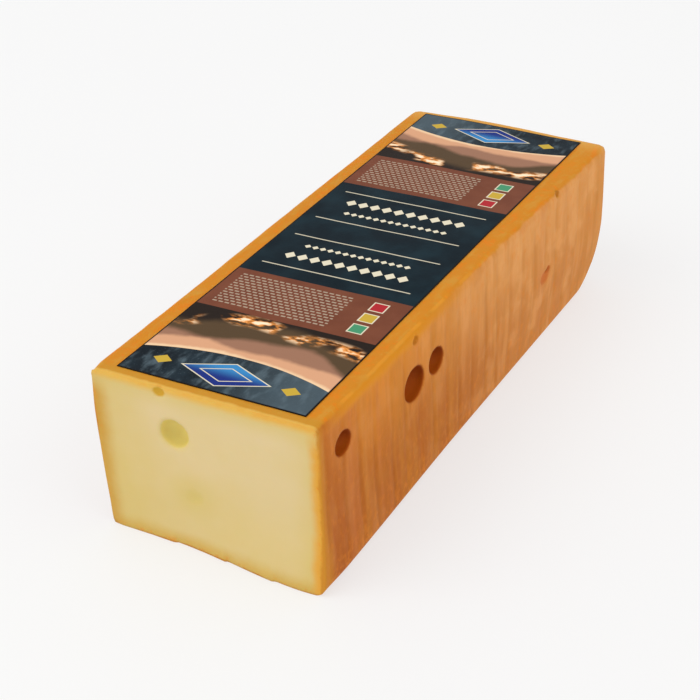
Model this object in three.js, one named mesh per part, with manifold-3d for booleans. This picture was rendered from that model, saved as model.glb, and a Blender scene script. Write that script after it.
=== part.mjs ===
// A long bar of smoked semi-hard cheese with round eyes, and the label on its top.
//
// Millimetres, +Z up. X runs across the bar. Y runs along it, from the pale cut
// face at -Y to the heel at +Y, the end that kept its rind and the rounding of
// the mould. The origin is the centre of the footprint, on the base.

import * as THREE from 'three';
import { mergeVertices } from 'three/addons/utils/BufferGeometryUtils.js';
import Module from 'manifold-3d';

// ---------------------------------------------------------------- driving dimensions

const bar = { width: 113, length: 311.2, height: 80 };

// Radii of the bar's edges. The heel is nearly square at its top and full at its base.
// The right foot is fuller where it meets the cut face, and eases along its reach.
const radius = {
  cutEdge: 0.6, topEdge: 3.4, baseEdge: 4, footCorner: 5.5, footReach: 20,
  heelTop: 6.5, heelSide: 6.5, heelBase: 23,
};

// How far the heel curves in from its top to its base, and from its middle to its sides.
const heel = { lean: 4.6, crown: 2 };

// The bar is soft and has settled. The cut face draws in along its base, but swells
// forward at its right corner, and is slightly full in its middle. The right side
// spreads towards the heel and splays at its foot near the cut. The left side draws
// in there at its foot and at its top. The top sinks towards the heel's right corner.
const settled = {
  foot: -0.7, corner: 4.9, cornerX: 42, cornerReachX: 65, reachZ: 34, middle: 0.5,
  side: 3.4, splay: 1.6, splayReach: 0.47,
  left: 1.4, leftReachY: 70, leftReachZ: 60, leftTop: 1, leftTopReachY: 9, leftTopReachZ: 22,
  top: 1.6,
};

// Shallow upright grooves that the smoking rack leaves on the long sides.
const groove = { pitch: 13.6, first: 5.6, jitter: 1.2, depth: 0.35, halfWidth: 2.2, fadeTop: 9, seed: 11 };

// Eyes and dents. `along` is measured from the left edge of the face as one looks
// at it, `down` from the top of the bar, `wide` and `tall` across the mouth.
// `sunk` is the depth of the hollow's centre as a share of its whole depth: above
// zero it widens behind its mouth, below zero it is a shallow dish.
const eyes = {
  right: [
    { along: 19.4, down: 17.8, wide: 12.2, tall: 10.4, deep: 6, sunk: 0.15 },
    { along: 83, down: 26, wide: 17.4, tall: 15.6, deep: 8, sunk: 0.15 },
    { along: 104.2, down: 25.8, wide: 13.4, tall: 12, deep: 6.6, sunk: 0.15 },
    { along: 85.4, down: 5.5, wide: 6, tall: 4.6, deep: 1.6, sunk: -0.6 },
    { along: 223.5, down: 41.8, wide: 11, tall: 7.6, deep: 1.6, sunk: -1 },
    { along: 227.4, down: 39.2, wide: 5.4, tall: 3.8, deep: 3.2, sunk: 0.2 },
    { along: 238, down: 1.6, wide: 5.4, tall: 4.2, deep: 1.4, sunk: -0.6 },
  ],
  left: [
    { along: 58, down: 38, wide: 14, tall: 13, deep: 6.8, sunk: 0.15 },
    { along: 141, down: 21, wide: 12, tall: 11, deep: 6, sunk: 0.15 },
    { along: 161, down: 27, wide: 17, tall: 15, deep: 8, sunk: 0.15 },
    { along: 250, down: 34, wide: 13, tall: 12, deep: 6.4, sunk: 0.15 },
    { along: 205, down: 56, wide: 9, tall: 8, deep: 1.5, sunk: -1 },
  ],
  cut: [
    { along: 40.4, down: 21.6, wide: 13.6, tall: 13.2, deep: 5.2, sunk: 0.1 },
    { along: 34.4, down: 2.6, wide: 6.4, tall: 4.6, deep: 1.1, sunk: -0.8 },
    { along: 47.6, down: 51.1, wide: 9.5, tall: 8.5, deep: 0.6, sunk: -1 },
  ],
  heel: [
    { along: 36, down: 25, wide: 12, tall: 11, deep: 6, sunk: 0.15 },
    { along: 78, down: 38, wide: 8, tall: 7, deep: 1.4, sunk: -1 },
  ],
};

// The label follows the top, held by a film of glue, and is laid slightly askew.
const label = { width: 90.6, length: 292, thickness: 0.25, fromCut: 6, offset: -1.4, turn: 0.22, glue: 0.12 };

// ---------------------------------------------------------------- places worked out from them

const half = { x: bar.width / 2, y: bar.length / 2, z: bar.height / 2 };

/** The Y of the cut face along its top edge, behind the swelling of its lower corner. */
const cutY = -half.y + settled.foot + settled.corner;

/** The length of the top, from the cut face to the heel. */
const topLength = half.y - cutY;

/** Repeatable draws between -1 and 1. */
function makeDraw(seed) {
  let state = seed;
  return () => {
    state = (state * 16807) % 2147483647;
    return (state / 2147483647) * 2 - 1;
  };
}

/** The Y of each groove's valley, a pitch apart give or take the jitter. */
function placeGrooves() {
  const draw = makeDraw(groove.seed);
  const count = Math.floor((bar.length - radius.heelBase - groove.first) / groove.pitch);
  return Array.from({ length: count }, (_, i) => (
    cutY + groove.first + groove.pitch * i + groove.jitter * draw()));
}

const grooves = placeGrooves();

// ---------------------------------------------------------------- the bar's outer form

const smooth = THREE.MathUtils.smoothstep;

/** How far a side lies inside the bar's full width: the grooves, which fade out below the top. */
function sideInset(y, z) {
  const valley = Math.max(...grooves.map((at) => 1 - Math.abs(y - at) / groove.halfWidth), 0);
  return groove.depth * valley * smooth(bar.height - z, 1, groove.fadeTop);
}

/** How far the right side lies inside its widest place, which is high up near the heel. */
function rightInset(y, z) {
  const along = (y - cutY) / topLength;
  const spread = smooth(along, 0.3, 0.95) * smooth(z, 0, half.z);
  const splay = (1 - smooth(along, 0, settled.splayReach)) * (1 - smooth(z, 0, half.z));
  return settled.side * (1 - spread) - settled.splay * splay;
}

/** How far the left side draws in near the cut face, at its foot and at its top. */
function leftInset(y, z) {
  const fromCut = y - cutY;
  const atFoot = (1 - smooth(fromCut, 0, settled.leftReachY)) * (1 - smooth(z, 0, settled.leftReachZ));
  const atTop = (1 - smooth(fromCut, 0, settled.leftTopReachY))
    * smooth(z, bar.height - settled.leftTopReachZ, bar.height);
  return settled.left * atFoot + settled.leftTop * atTop;
}

/** How far the top has sunk below the bar's full height. */
function topSinking(x, y) {
  return settled.top * smooth(x, -half.x * 0.6, half.x) * smooth((y - cutY) / topLength, 0.5, 1);
}

/** How far the cut face stands in front of its top edge. */
function cutSwelling(x, z) {
  const atCorner = 1 - smooth(Math.abs(x - settled.cornerX), 0, settled.cornerReachX);
  const atBase = 1 - smooth(z, 0, settled.reachZ);
  const middle = Math.cos((x / bar.width) * Math.PI) * Math.sin((z / bar.height) * Math.PI);
  return (settled.foot + settled.corner * atCorner) * atBase + settled.middle * middle;
}

/** How far the heel lies inside the bar's full length. */
function heelInset(x, z) {
  return heel.lean * (1 - z / bar.height) ** 2 + heel.crown * (x / half.x) ** 2;
}

/** The radius of the edges along the base, by the place along the bar. */
function lowEdgeRadius(x, y) {
  const atHeel = smooth(y, half.y - radius.heelBase, half.y - radius.heelSide);
  const atCorner = x > 0 ? 1 - smooth(y - cutY, 0, radius.footReach) : 0;
  const towardsHeel = THREE.MathUtils.lerp(radius.baseEdge, radius.heelSide, atHeel);
  return THREE.MathUtils.lerp(towardsHeel, radius.footCorner, atCorner);
}

/** The distance outside two faces that meet in an edge of radius r, from the distance outside each. */
function roundEdge(a, b, r) {
  return Math.min(Math.max(a, b) + r, 0) + Math.hypot(Math.max(a + r, 0), Math.max(b + r, 0)) - r;
}

/** The distance of a point outside the bar, below zero inside it. */
function outsideBar({ x, y, z }) {
  const side = Math.max(x + rightInset(y, z), leftInset(y, z) - x) - half.x + sideInset(y, z);
  const end = y - half.y + heelInset(x, z);
  const cut = cutY - y - cutSwelling(x, z);
  const top = z - bar.height + topSinking(x, y);

  const atHeel = smooth(y, half.y - radius.heelBase, half.y - radius.heelSide);
  const highEdge = THREE.MathUtils.lerp(radius.topEdge, radius.heelTop, atHeel);
  const under = roundEdge(end, -z, radius.heelBase);
  const rind = roundEdge(roundEdge(side, under, lowEdgeRadius(x, y)), top, highEdge);
  return roundEdge(rind, cut, radius.cutEdge);
}

/** Grid lines along one axis: close together within each end's rounding, even between. */
function gridLines(low, high, lowBand, highBand, inner) {
  return [
    ...lowBand.map((offset) => low + offset),
    ...inner,
    ...highBand.map((offset) => high - offset).reverse(),
  ];
}

/** Evenly spaced values strictly between two ends. */
function between(low, high, count) {
  return Array.from({ length: count }, (_, i) => low + ((high - low) * (i + 1)) / (count + 1));
}

/** The bar before its eyes: a box whose grid is drawn in, towards a core, onto the rounded form. */
function makeBarSurface() {
  const leftBand = [0, 1.2, 2.6, radius.baseEdge];
  const rightBand = [...leftBand, radius.footCorner];
  const baseBand = [0, 1.4, radius.baseEdge, 9, 15, radius.heelBase];
  const topBand = [0, 1.2, radius.topEdge, radius.heelTop];
  const heelBand = [0, 2, 4.2, radius.heelSide, 11.5, 17, radius.heelBase];
  const xLines = gridLines(-half.x, half.x, leftBand, rightBand,
    between(-half.x + radius.baseEdge, half.x - radius.footCorner, 5));
  const zLines = gridLines(0, bar.height, baseBand, topBand,
    between(radius.heelBase, bar.height - topBand.at(-1), 2));
  const yLines = gridLines(-half.y, half.y, [0], heelBand,
    grooves.flatMap((at) => [at - groove.halfWidth, at, at + groove.halfWidth]));

  const segments = [xLines, yLines, zLines].map((lines) => lines.length - 1);
  const geometry = new THREE.BoxGeometry(1, 1, 1, ...segments);
  geometry.deleteAttribute('normal');
  geometry.deleteAttribute('uv');
  const surface = mergeVertices(geometry, 1e-5);

  const pick = (lines, share) => lines[Math.round((share + 0.5) * (lines.length - 1))];
  const coreDepth = half.z - 1;
  const core = new THREE.Box3(
    new THREE.Vector3(-half.x, -half.y, 0).addScalar(coreDepth),
    new THREE.Vector3(half.x, half.y, bar.height).addScalar(-coreDepth),
  );
  const corner = new THREE.Vector3();
  const inner = new THREE.Vector3();
  const positions = surface.getAttribute('position');
  for (let i = 0; i < positions.count; i += 1) {
    corner.fromBufferAttribute(positions, i);
    corner.set(pick(xLines, corner.x), pick(yLines, corner.y), pick(zLines, corner.z));
    fitToFaces(corner);
    core.clampPoint(corner, inner);
    drawIn(corner, inner);
    positions.setXYZ(i, corner.x, corner.y, corner.z);
  }
  return surface;
}

/** Moves a point of the full box so that the box's faces come to lie on the bar's own. */
function fitToFaces(point) {
  const { x, y, z } = point;
  const inward = x > 0 ? -rightInset(y, z) : leftInset(y, z);
  point.x += inward * Math.abs(x / half.x);
  point.z -= topSinking(x, y) * (z / bar.height);
  if (y === -half.y) point.y = cutY - cutSwelling(x, z);
  else point.y -= heelInset(x, z) * smooth(y, half.y - radius.heelBase, half.y);
}

/** Moves a point along its line from an inner point until it lies on the bar's surface. */
function drawIn(point, inner) {
  const outer = point.clone().sub(inner).multiplyScalar(1.2).add(inner);
  let low = 0;
  let high = 1;
  for (let step = 0; step < 48; step += 1) {
    const middle = (low + high) / 2;
    point.lerpVectors(inner, outer, middle);
    if (outsideBar(point) > 0) high = middle;
    else low = middle;
  }
}

// ---------------------------------------------------------------- eyes

// Each face: the point that `along` and `down` count from, its rightward
// direction and its outward normal.
const faces = {
  right: { from: [half.x, cutY, bar.height], rightward: [0, 1, 0], outward: [1, 0, 0] },
  left: { from: [-half.x, half.y, bar.height], rightward: [0, -1, 0], outward: [-1, 0, 0] },
  cut: { from: [-half.x, cutY, bar.height], rightward: [1, 0, 0], outward: [0, -1, 0] },
  heel: { from: [half.x, half.y, bar.height], rightward: [-1, 0, 0], outward: [0, 1, 0] },
};

/** The ellipsoid that hollows out one eye or dent, its depth counted from the bar's own surface. */
function makeHollow(face, { along, down, wide, tall, deep, sunk }) {
  const rightward = new THREE.Vector3(...face.rightward);
  const outward = new THREE.Vector3(...face.outward);
  const upward = new THREE.Vector3(0, 0, 1);

  const centreDepth = sunk * deep;
  const halfDepth = deep - centreDepth;
  const mouthShare = Math.sqrt(1 - (centreDepth / halfDepth) ** 2);
  const rings = deep > 5 ? 10 : 7;

  const hollow = new THREE.SphereGeometry(1, Math.round(rings * 1.6), rings);
  hollow.rotateX(Math.PI / 2);
  hollow.scale(wide / 2 / mouthShare, tall / 2 / mouthShare, halfDepth);
  const placing = new THREE.Matrix4().makeBasis(rightward, upward, outward);
  const centre = new THREE.Vector3(...face.from)
    .addScaledVector(rightward, along)
    .addScaledVector(upward, -down);
  centre.addScaledVector(outward, -outsideBar(centre) - centreDepth);
  return hollow.applyMatrix4(placing.setPosition(centre));
}

// ---------------------------------------------------------------- boolean cuts

const wasm = await Module();
wasm.setup();

/** A three.js surface as a solid that can be cut. */
function toSolid(geometry) {
  const bare = geometry.clone();
  bare.deleteAttribute('normal');
  bare.deleteAttribute('uv');
  const merged = mergeVertices(bare, 1e-5);
  return new wasm.Manifold(new wasm.Mesh({
    numProp: 3,
    vertProperties: new Float32Array(merged.getAttribute('position').array),
    triVerts: new Uint32Array(merged.getIndex().array),
  }));
}

/** A cut solid as a three.js surface again. */
function toGeometry(solid) {
  const { vertProperties, triVerts } = solid.getMesh();
  const geometry = new THREE.BufferGeometry();
  geometry.setAttribute('position', new THREE.BufferAttribute(vertProperties, 3));
  geometry.setIndex(new THREE.BufferAttribute(triVerts, 1));
  geometry.computeVertexNormals();
  return geometry;
}

// ---------------------------------------------------------------- the two pieces

/** The block of cheese, with every eye and dent cut into it. */
function makeCheese() {
  let solid = toSolid(makeBarSurface());
  for (const [name, hollows] of Object.entries(eyes)) {
    for (const hollow of hollows) {
      solid = solid.subtract(toSolid(makeHollow(faces[name], hollow)));
    }
  }
  const rind = new THREE.MeshStandardMaterial({ color: 0xcb8846, roughness: 0.5, metalness: 0 });
  const cheese = new THREE.Mesh(toGeometry(solid), rind);
  cheese.name = 'cheese_bar';
  return cheese;
}

/** The printed label: one thin sheet that follows the top of the bar. */
function makeLabel() {
  const sheet = new THREE.BoxGeometry(label.width, label.length, label.thickness, 6, 18, 1);
  sheet.rotateZ(THREE.MathUtils.degToRad(label.turn));
  sheet.translate(label.offset, cutY + label.fromCut + label.length / 2, label.thickness / 2);
  const positions = sheet.getAttribute('position');
  for (let i = 0; i < positions.count; i += 1) {
    const top = bar.height - topSinking(positions.getX(i), positions.getY(i));
    positions.setZ(i, positions.getZ(i) + top + label.glue);
  }
  const film = new THREE.MeshStandardMaterial({ color: 0x34454c, roughness: 0.4, metalness: 0 });
  const mesh = new THREE.Mesh(sheet, film);
  mesh.name = 'label';
  return mesh;
}

const part = new THREE.Group();
part.name = 'smoked_cheese_bar';
part.add(makeCheese(), makeLabel());

export default part;
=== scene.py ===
"""The looks of a bar of smoked cheese: rind, cut face, eyes and the label on its top.

Lengths are in millimetres in the dataclasses and in metres in Blender. X runs across
the bar, Y along it from the cut face to the heel, and Z up from its base.
"""

from __future__ import annotations

import logging
import math
from dataclasses import dataclass, field
from enum import Enum
from typing import Callable

import bpy
import numpy as np
from mathutils import Matrix, Vector

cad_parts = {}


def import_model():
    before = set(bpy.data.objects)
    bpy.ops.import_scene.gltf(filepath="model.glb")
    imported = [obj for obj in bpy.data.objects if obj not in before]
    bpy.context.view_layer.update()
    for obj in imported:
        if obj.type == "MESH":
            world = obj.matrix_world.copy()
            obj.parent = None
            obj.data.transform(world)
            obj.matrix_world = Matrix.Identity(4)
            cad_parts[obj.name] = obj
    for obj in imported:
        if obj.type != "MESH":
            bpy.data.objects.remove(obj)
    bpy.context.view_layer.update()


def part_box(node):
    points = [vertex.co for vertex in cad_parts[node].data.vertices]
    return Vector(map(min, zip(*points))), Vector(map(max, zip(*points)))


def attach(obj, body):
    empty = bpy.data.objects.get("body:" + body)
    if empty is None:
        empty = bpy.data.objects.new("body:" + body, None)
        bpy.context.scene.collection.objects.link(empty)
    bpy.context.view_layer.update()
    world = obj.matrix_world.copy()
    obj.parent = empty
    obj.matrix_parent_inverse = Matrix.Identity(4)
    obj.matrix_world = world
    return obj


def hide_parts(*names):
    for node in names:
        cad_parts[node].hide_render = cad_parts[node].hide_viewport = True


LOG = logging.getLogger("cheese")
MM = 0.001
Span = tuple[float, float]
EYE_DEPTH = 5.0
DIMPLE_DEPTH = 1.0
DRAW_FACTOR = 16807
DRAW_LIMIT = 2147483647


# ---- small numeric helpers


def smoothstep(value: np.ndarray, low: float, high: float) -> np.ndarray:
    """Numbers mapped to a smooth rise from 0 at low to 1 at high; with high below low, to a fall."""
    share = np.clip((value - low) / (high - low), 0.0, 1.0)
    return share * share * (3.0 - 2.0 * share)


def srgb(red: int, green: int, blue: int) -> tuple[float, float, float, float]:
    """A colour given as screen values from 0 to 255, as Blender's linear RGBA.

    Args:
        red: Screen red.
        green: Screen green.
        blue: Screen blue.

    Returns:
        Linear red, green and blue, and an alpha of 1.
    """

    def linear(value: int) -> float:
        """One channel from screen to linear."""
        share = value / 255.0
        return share / 12.92 if share <= 0.04045 else ((share + 0.055) / 1.055) ** 2.4

    return (linear(red), linear(green), linear(blue), 1.0)


# ---- shaping with operators


def deselect_all() -> None:
    if bpy.context.mode != "OBJECT":
        bpy.ops.object.mode_set(mode="OBJECT")
    bpy.ops.object.select_all(action="DESELECT")


class Workpiece:
    """One mesh object that is shaped by edit-mode operators and applied modifiers."""

    def __init__(self, name: str, stretch: Vector = Vector((1, 1, 1))) -> None:
        """Takes over the primitive that was just added.

        Args:
            name: The name of the finished piece.
            stretch: How much larger it becomes along X, Y and Z.
        """
        self.object = bpy.context.object
        self.object.name = name
        self.object.data.name = name
        self.object.scale = stretch
        bpy.ops.object.transform_apply(location=True, rotation=True, scale=True)

    @property
    def mesh(self) -> bpy.types.Mesh:
        """The piece's mesh."""
        return self.object.data

    def points(self) -> np.ndarray:
        """The piece's vertices in millimetres, one row each."""
        flat = np.zeros(len(self.mesh.vertices) * 3)
        self.mesh.vertices.foreach_get("co", flat)
        return flat.reshape(-1, 3) / MM

    def activate(self) -> None:
        """Makes this the only selected object, and the active one."""
        deselect_all()
        self.object.select_set(True)
        bpy.context.view_layer.objects.active = self.object

    def edit(self, chosen: np.ndarray, operate: Callable[[], object]) -> None:
        """Runs edit-mode operators on some of the vertices and what lies between them.

        Args:
            chosen: One flag for each vertex.
            operate: What runs while they are selected.
        """
        self.activate()
        bpy.ops.object.mode_set(mode="EDIT")
        bpy.ops.mesh.select_mode(type="VERT")
        bpy.ops.mesh.select_all(action="DESELECT")
        bpy.ops.object.mode_set(mode="OBJECT")
        self.mesh.vertices.foreach_set("select", chosen.astype(bool))
        bpy.ops.object.mode_set(mode="EDIT")
        operate()
        bpy.ops.object.mode_set(mode="OBJECT")

    def modify(self, kind: str, **settings: object) -> None:
        """Adds one modifier and applies it.

        Args:
            kind: The modifier's type.
            **settings: Its properties.
        """
        self.activate()
        modifier = self.object.modifiers.new(kind.title(), kind)
        for key, value in settings.items():
            setattr(modifier, key, value)
        bpy.ops.object.modifier_apply(modifier=modifier.name)

    def weigh(self, name: str, weights: np.ndarray) -> str:
        """Stores a weight for each vertex as a vertex group.

        Args:
            name: The group's name.
            weights: Numbers from 0 to 1.

        Returns:
            The group's name, for a modifier to read.
        """
        group = self.object.vertex_groups.new(name=name)
        steps = np.round(np.clip(weights, 0.0, 1.0), 3)
        for step in np.unique(steps[steps > 0]):
            group.add(np.flatnonzero(steps == step).tolist(), float(step), "REPLACE")
        return group.name

    def push(self, name: str, distances: np.ndarray, direction: str) -> None:
        """Moves vertices along an axis or their normals, each by its own distance.

        Args:
            name: What the move models, which names its vertex groups.
            distances: How far each vertex moves, in millimetres.
            direction: X, Y, Z or NORMAL.
        """
        for sign in (1, -1):
            part = np.clip(distances * sign, 0.0, None)
            furthest = float(part.max())
            if furthest == 0.0:
                continue
            modifier = self.object.modifiers.new(name, "DISPLACE")
            modifier.direction = direction
            modifier.mid_level = 0.0
            modifier.strength = sign * furthest * MM
            modifier.vertex_group = self.weigh(name, part / furthest)

    def roughen(self, name: str, weights: np.ndarray, size: float, height: float) -> None:
        """Adds smooth random unevenness along the normals.

        Args:
            name: The modifier's and the texture's name.
            weights: Each vertex's share, from 0 to 1.
            size: The size of the lumps, in millimetres.
            height: Their full height, in millimetres.
        """
        texture = bpy.data.textures.new(name, "CLOUDS")
        texture.noise_scale = size * MM
        texture.noise_depth = 2
        modifier = self.object.modifiers.new(name, "DISPLACE")
        modifier.texture = texture
        modifier.texture_coords = "LOCAL"
        modifier.mid_level = 0.5
        modifier.strength = height * MM
        modifier.vertex_group = self.weigh(name, weights)

    def apply_modifiers(self) -> None:
        """Applies every modifier in its order."""
        self.activate()
        for name in [modifier.name for modifier in self.object.modifiers]:
            bpy.ops.object.modifier_apply(modifier=name)

    def paint(self, name: str, values: np.ndarray) -> None:
        """Stores a number for each vertex as a named attribute that materials read."""
        attribute = self.mesh.attributes.new(name, "FLOAT", "POINT")
        attribute.data.foreach_set("value", values.astype(np.float32))

    def finish(self, material: bpy.types.Material, node: str, slot: str) -> None:
        """Gives the piece its finish and puts it in the place of its CAD node.

        Args:
            material: The finish.
            node: The CAD node it stands for.
            slot: Not used.
        """
        self.mesh.materials.clear()
        self.mesh.materials.append(material)
        self.object.vertex_groups.clear()
        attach(self.object, "root")
        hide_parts(node)
        LOG.info("%s: %d faces", self.object.name, len(self.mesh.polygons))


# ---- shader maths


class Sock:
    """A node's output, with the operators of ordinary arithmetic."""

    def __init__(self, shader: Shader, socket: bpy.types.NodeSocket) -> None:
        """Wraps an output socket of a shader."""
        self.shader = shader
        self.socket = socket

    def _math(self, operation: str, *values: Value) -> Sock:
        """One Math node on this and other values."""
        return self.shader.node("ShaderNodeMath", {"operation": operation}, dict(enumerate(values)))

    def __add__(self, other: Value) -> Sock:
        """Sum."""
        return self._math("ADD", self, other)

    __radd__ = __add__

    def __sub__(self, other: Value) -> Sock:
        """Difference."""
        return self._math("SUBTRACT", self, other)

    def __rsub__(self, other: Value) -> Sock:
        """Reflected difference."""
        return self._math("SUBTRACT", other, self)

    def __mul__(self, other: Value) -> Sock:
        """Product."""
        return self._math("MULTIPLY", self, other)

    __rmul__ = __mul__

    def __truediv__(self, other: Value) -> Sock:
        """Quotient."""
        return self._math("DIVIDE", self, other)

    def __pow__(self, other: Value) -> Sock:
        """Power."""
        return self._math("POWER", self, other)

    def __abs__(self) -> Sock:
        """Size without sign."""
        return self._math("ABSOLUTE", self)

    def least(self, other: Value) -> Sock:
        """The smaller of two values."""
        return self._math("MINIMUM", self, other)

    def most(self, other: Value) -> Sock:
        """The larger of two values."""
        return self._math("MAXIMUM", self, other)

    def sine(self) -> Sock:
        """Sine of an angle in radians."""
        return self._math("SINE", self)

    def wrapped(self, period: float) -> Sock:
        """The remainder after whole periods, from 0 to the period."""
        return self._math("WRAP", self, period, 0.0)

    def ramp(self, low: Value, high: Value) -> Sock:
        """A smooth rise from 0 at low to 1 at high; with high below low, a fall."""
        inputs = {"Value": self, "From Min": low, "From Max": high}
        return self.shader.node("ShaderNodeMapRange", {"interpolation_type": "SMOOTHSTEP"}, inputs)


Value = Sock | float | int | tuple
Colour = Sock | tuple[float, float, float, float]


class Shader:
    """A material built from expressions on sockets, around one Principled BSDF."""

    def __init__(self, name: str) -> None:
        """Makes the material with nothing but its output and its BSDF.

        Args:
            name: The material's name.
        """
        self.material = bpy.data.materials.new(name)
        self.material.use_nodes = True
        self.tree = self.material.node_tree
        self.surface = next(n for n in self.tree.nodes if n.type == "BSDF_PRINCIPLED")

    def node(
        self, kind: str, settings: dict[str, object], inputs: dict[int | str, Value], output: int | str = 0
    ) -> Sock:
        """Adds any node.

        Args:
            kind: The node's type.
            settings: Its properties, set first.
            inputs: A value or a link for each input socket, by number or name.
            output: The output socket that is returned.

        Returns:
            That output.
        """
        made = self.tree.nodes.new(kind)
        for key, value in settings.items():
            setattr(made, key, value)
        for key, value in inputs.items():
            if isinstance(value, Sock):
                self.tree.links.new(value.socket, made.inputs[key])
            else:
                made.inputs[key].default_value = value
        return Sock(self, made.outputs[output])

    def place(self) -> tuple[Sock, Sock, Sock, Sock]:
        """The point on the object: the vector in metres, and X, Y and Z in millimetres."""
        point = self.node("ShaderNodeTexCoord", {}, {}, "Object")
        parts = self.node("ShaderNodeSeparateXYZ", {}, {"Vector": point}).socket.node.outputs
        return (point, *(Sock(self, parts[axis]) / MM for axis in range(3)))

    def attribute(self, name: str) -> Sock:
        """A number painted on the mesh."""
        return self.node("ShaderNodeAttribute", {"attribute_name": name}, {}, "Fac")

    def noise(self, point: Sock, size: float, detail: float = 2.0, stretch: tuple = (1, 1, 1)) -> Sock:
        """Smooth random values around 0.5, their features a size in millimetres times the stretch."""
        scaled = self.node(
            "ShaderNodeVectorMath",
            {"operation": "MULTIPLY"},
            {0: point, 1: tuple(1.0 / (s * size * MM) for s in stretch)},
        )
        return self.node("ShaderNodeTexNoise", {}, {"Vector": scaled, "Scale": 1.0, "Detail": detail})

    def mix(self, share: Value, below: Colour, above: Colour) -> Sock:
        """One colour over another, by its share from 0 to 1."""
        return self.node("ShaderNodeMix", {"data_type": "RGBA"}, {0: share, 6: below, 7: above}, 2)

    def layered(self, colour: Colour, *layers: tuple[Value, Colour]) -> Colour:
        """A colour under others that are laid over it in turn.

        Args:
            colour: The lowest colour.
            *layers: The share and the colour of each layer, the lowest first.

        Returns:
            The colour that shows.
        """
        for share, tone in layers:
            colour = self.mix(share, colour, tone)
        return colour

    def vector(self, x: Value, y: Value, z: Value = 0.0) -> Sock:
        """A point in metres from its places in millimetres."""
        place = self.node("ShaderNodeCombineXYZ", {}, {0: x, 1: y, 2: z})
        return self.node("ShaderNodeVectorMath", {"operation": "SCALE"}, {0: place, 3: MM})

    def bump(self, height: Sock, distance: float) -> Sock:
        """The normal that a height gives, where a height of 1 stands for a distance in millimetres."""
        return self.node("ShaderNodeBump", {}, {"Height": height, "Distance": distance * MM, "Strength": 1.0})

    def finish(self, colour: Colour, roughness: Value, normal: Sock, **fixed: object) -> bpy.types.Material:
        """Connects what varies over the surface, and sets what doesn't on the BSDF itself.

        Args:
            colour: Base colour.
            roughness: Roughness.
            normal: Normal.
            **fixed: Other inputs by name, with underscores for spaces, as constants.

        Returns:
            The finished material.
        """
        for name, value in {"Base Color": colour, "Roughness": roughness, "Normal": normal}.items():
            if isinstance(value, Sock):
                self.tree.links.new(value.socket, self.surface.inputs[name])
            else:
                self.surface.inputs[name].default_value = value
        for name, value in fixed.items():
            self.surface.inputs[name.replace("_", " ")].default_value = value
        return self.material


# ---- the form of the bar


class Face(Enum):
    """The faces of the bar that have eyes: outward direction, and rightward as one looks at it."""

    RIGHT = ((1, 0, 0), (0, 1, 0))
    LEFT = ((-1, 0, 0), (0, -1, 0))
    CUT = ((0, -1, 0), (1, 0, 0))
    HEEL = ((0, 1, 0), (-1, 0, 0))

    @property
    def outward(self) -> Vector:
        """The face's outward direction."""
        return Vector(self.value[0])

    @property
    def rightward(self) -> Vector:
        """Rightward, as one looks at the face."""
        return Vector(self.value[1])


@dataclass(frozen=True)
class Hollow:
    """An eye or a dent, in millimetres.

    Along is counted from the left edge of its face and down from the top of the bar.
    Sunk is the depth of its centre as a share of its whole depth: above zero the
    hollow widens behind its mouth, and below zero it is a shallow dish.
    """

    face: Face
    along: float
    down: float
    wide: float
    tall: float
    deep: float
    sunk: float = 0.15

    @property
    def is_eye(self) -> bool:
        """Whether it is a deep eye, and not a dent in the surface."""
        return self.deep > EYE_DEPTH

    @property
    def centre_depth(self) -> float:
        """How deep the centre lies."""
        return self.sunk * self.deep

    @property
    def half_depth(self) -> float:
        """The semi-axis along the face's normal."""
        return self.deep - self.centre_depth

    @property
    def mouth_share(self) -> float:
        """The mouth's width as a share of the hollow's widest."""
        return math.sqrt(1.0 - (self.centre_depth / self.half_depth) ** 2)

    def half_axes(self) -> Vector:
        """The semi-axes along X, Y and Z."""
        outward, rightward = (Vector(map(abs, v)) for v in (self.face.outward, self.face.rightward))
        half_wide = self.wide / 2 / self.mouth_share
        half_tall = self.tall / 2 / self.mouth_share
        return outward * self.half_depth + rightward * half_wide + Vector((0, 0, half_tall))


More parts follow.
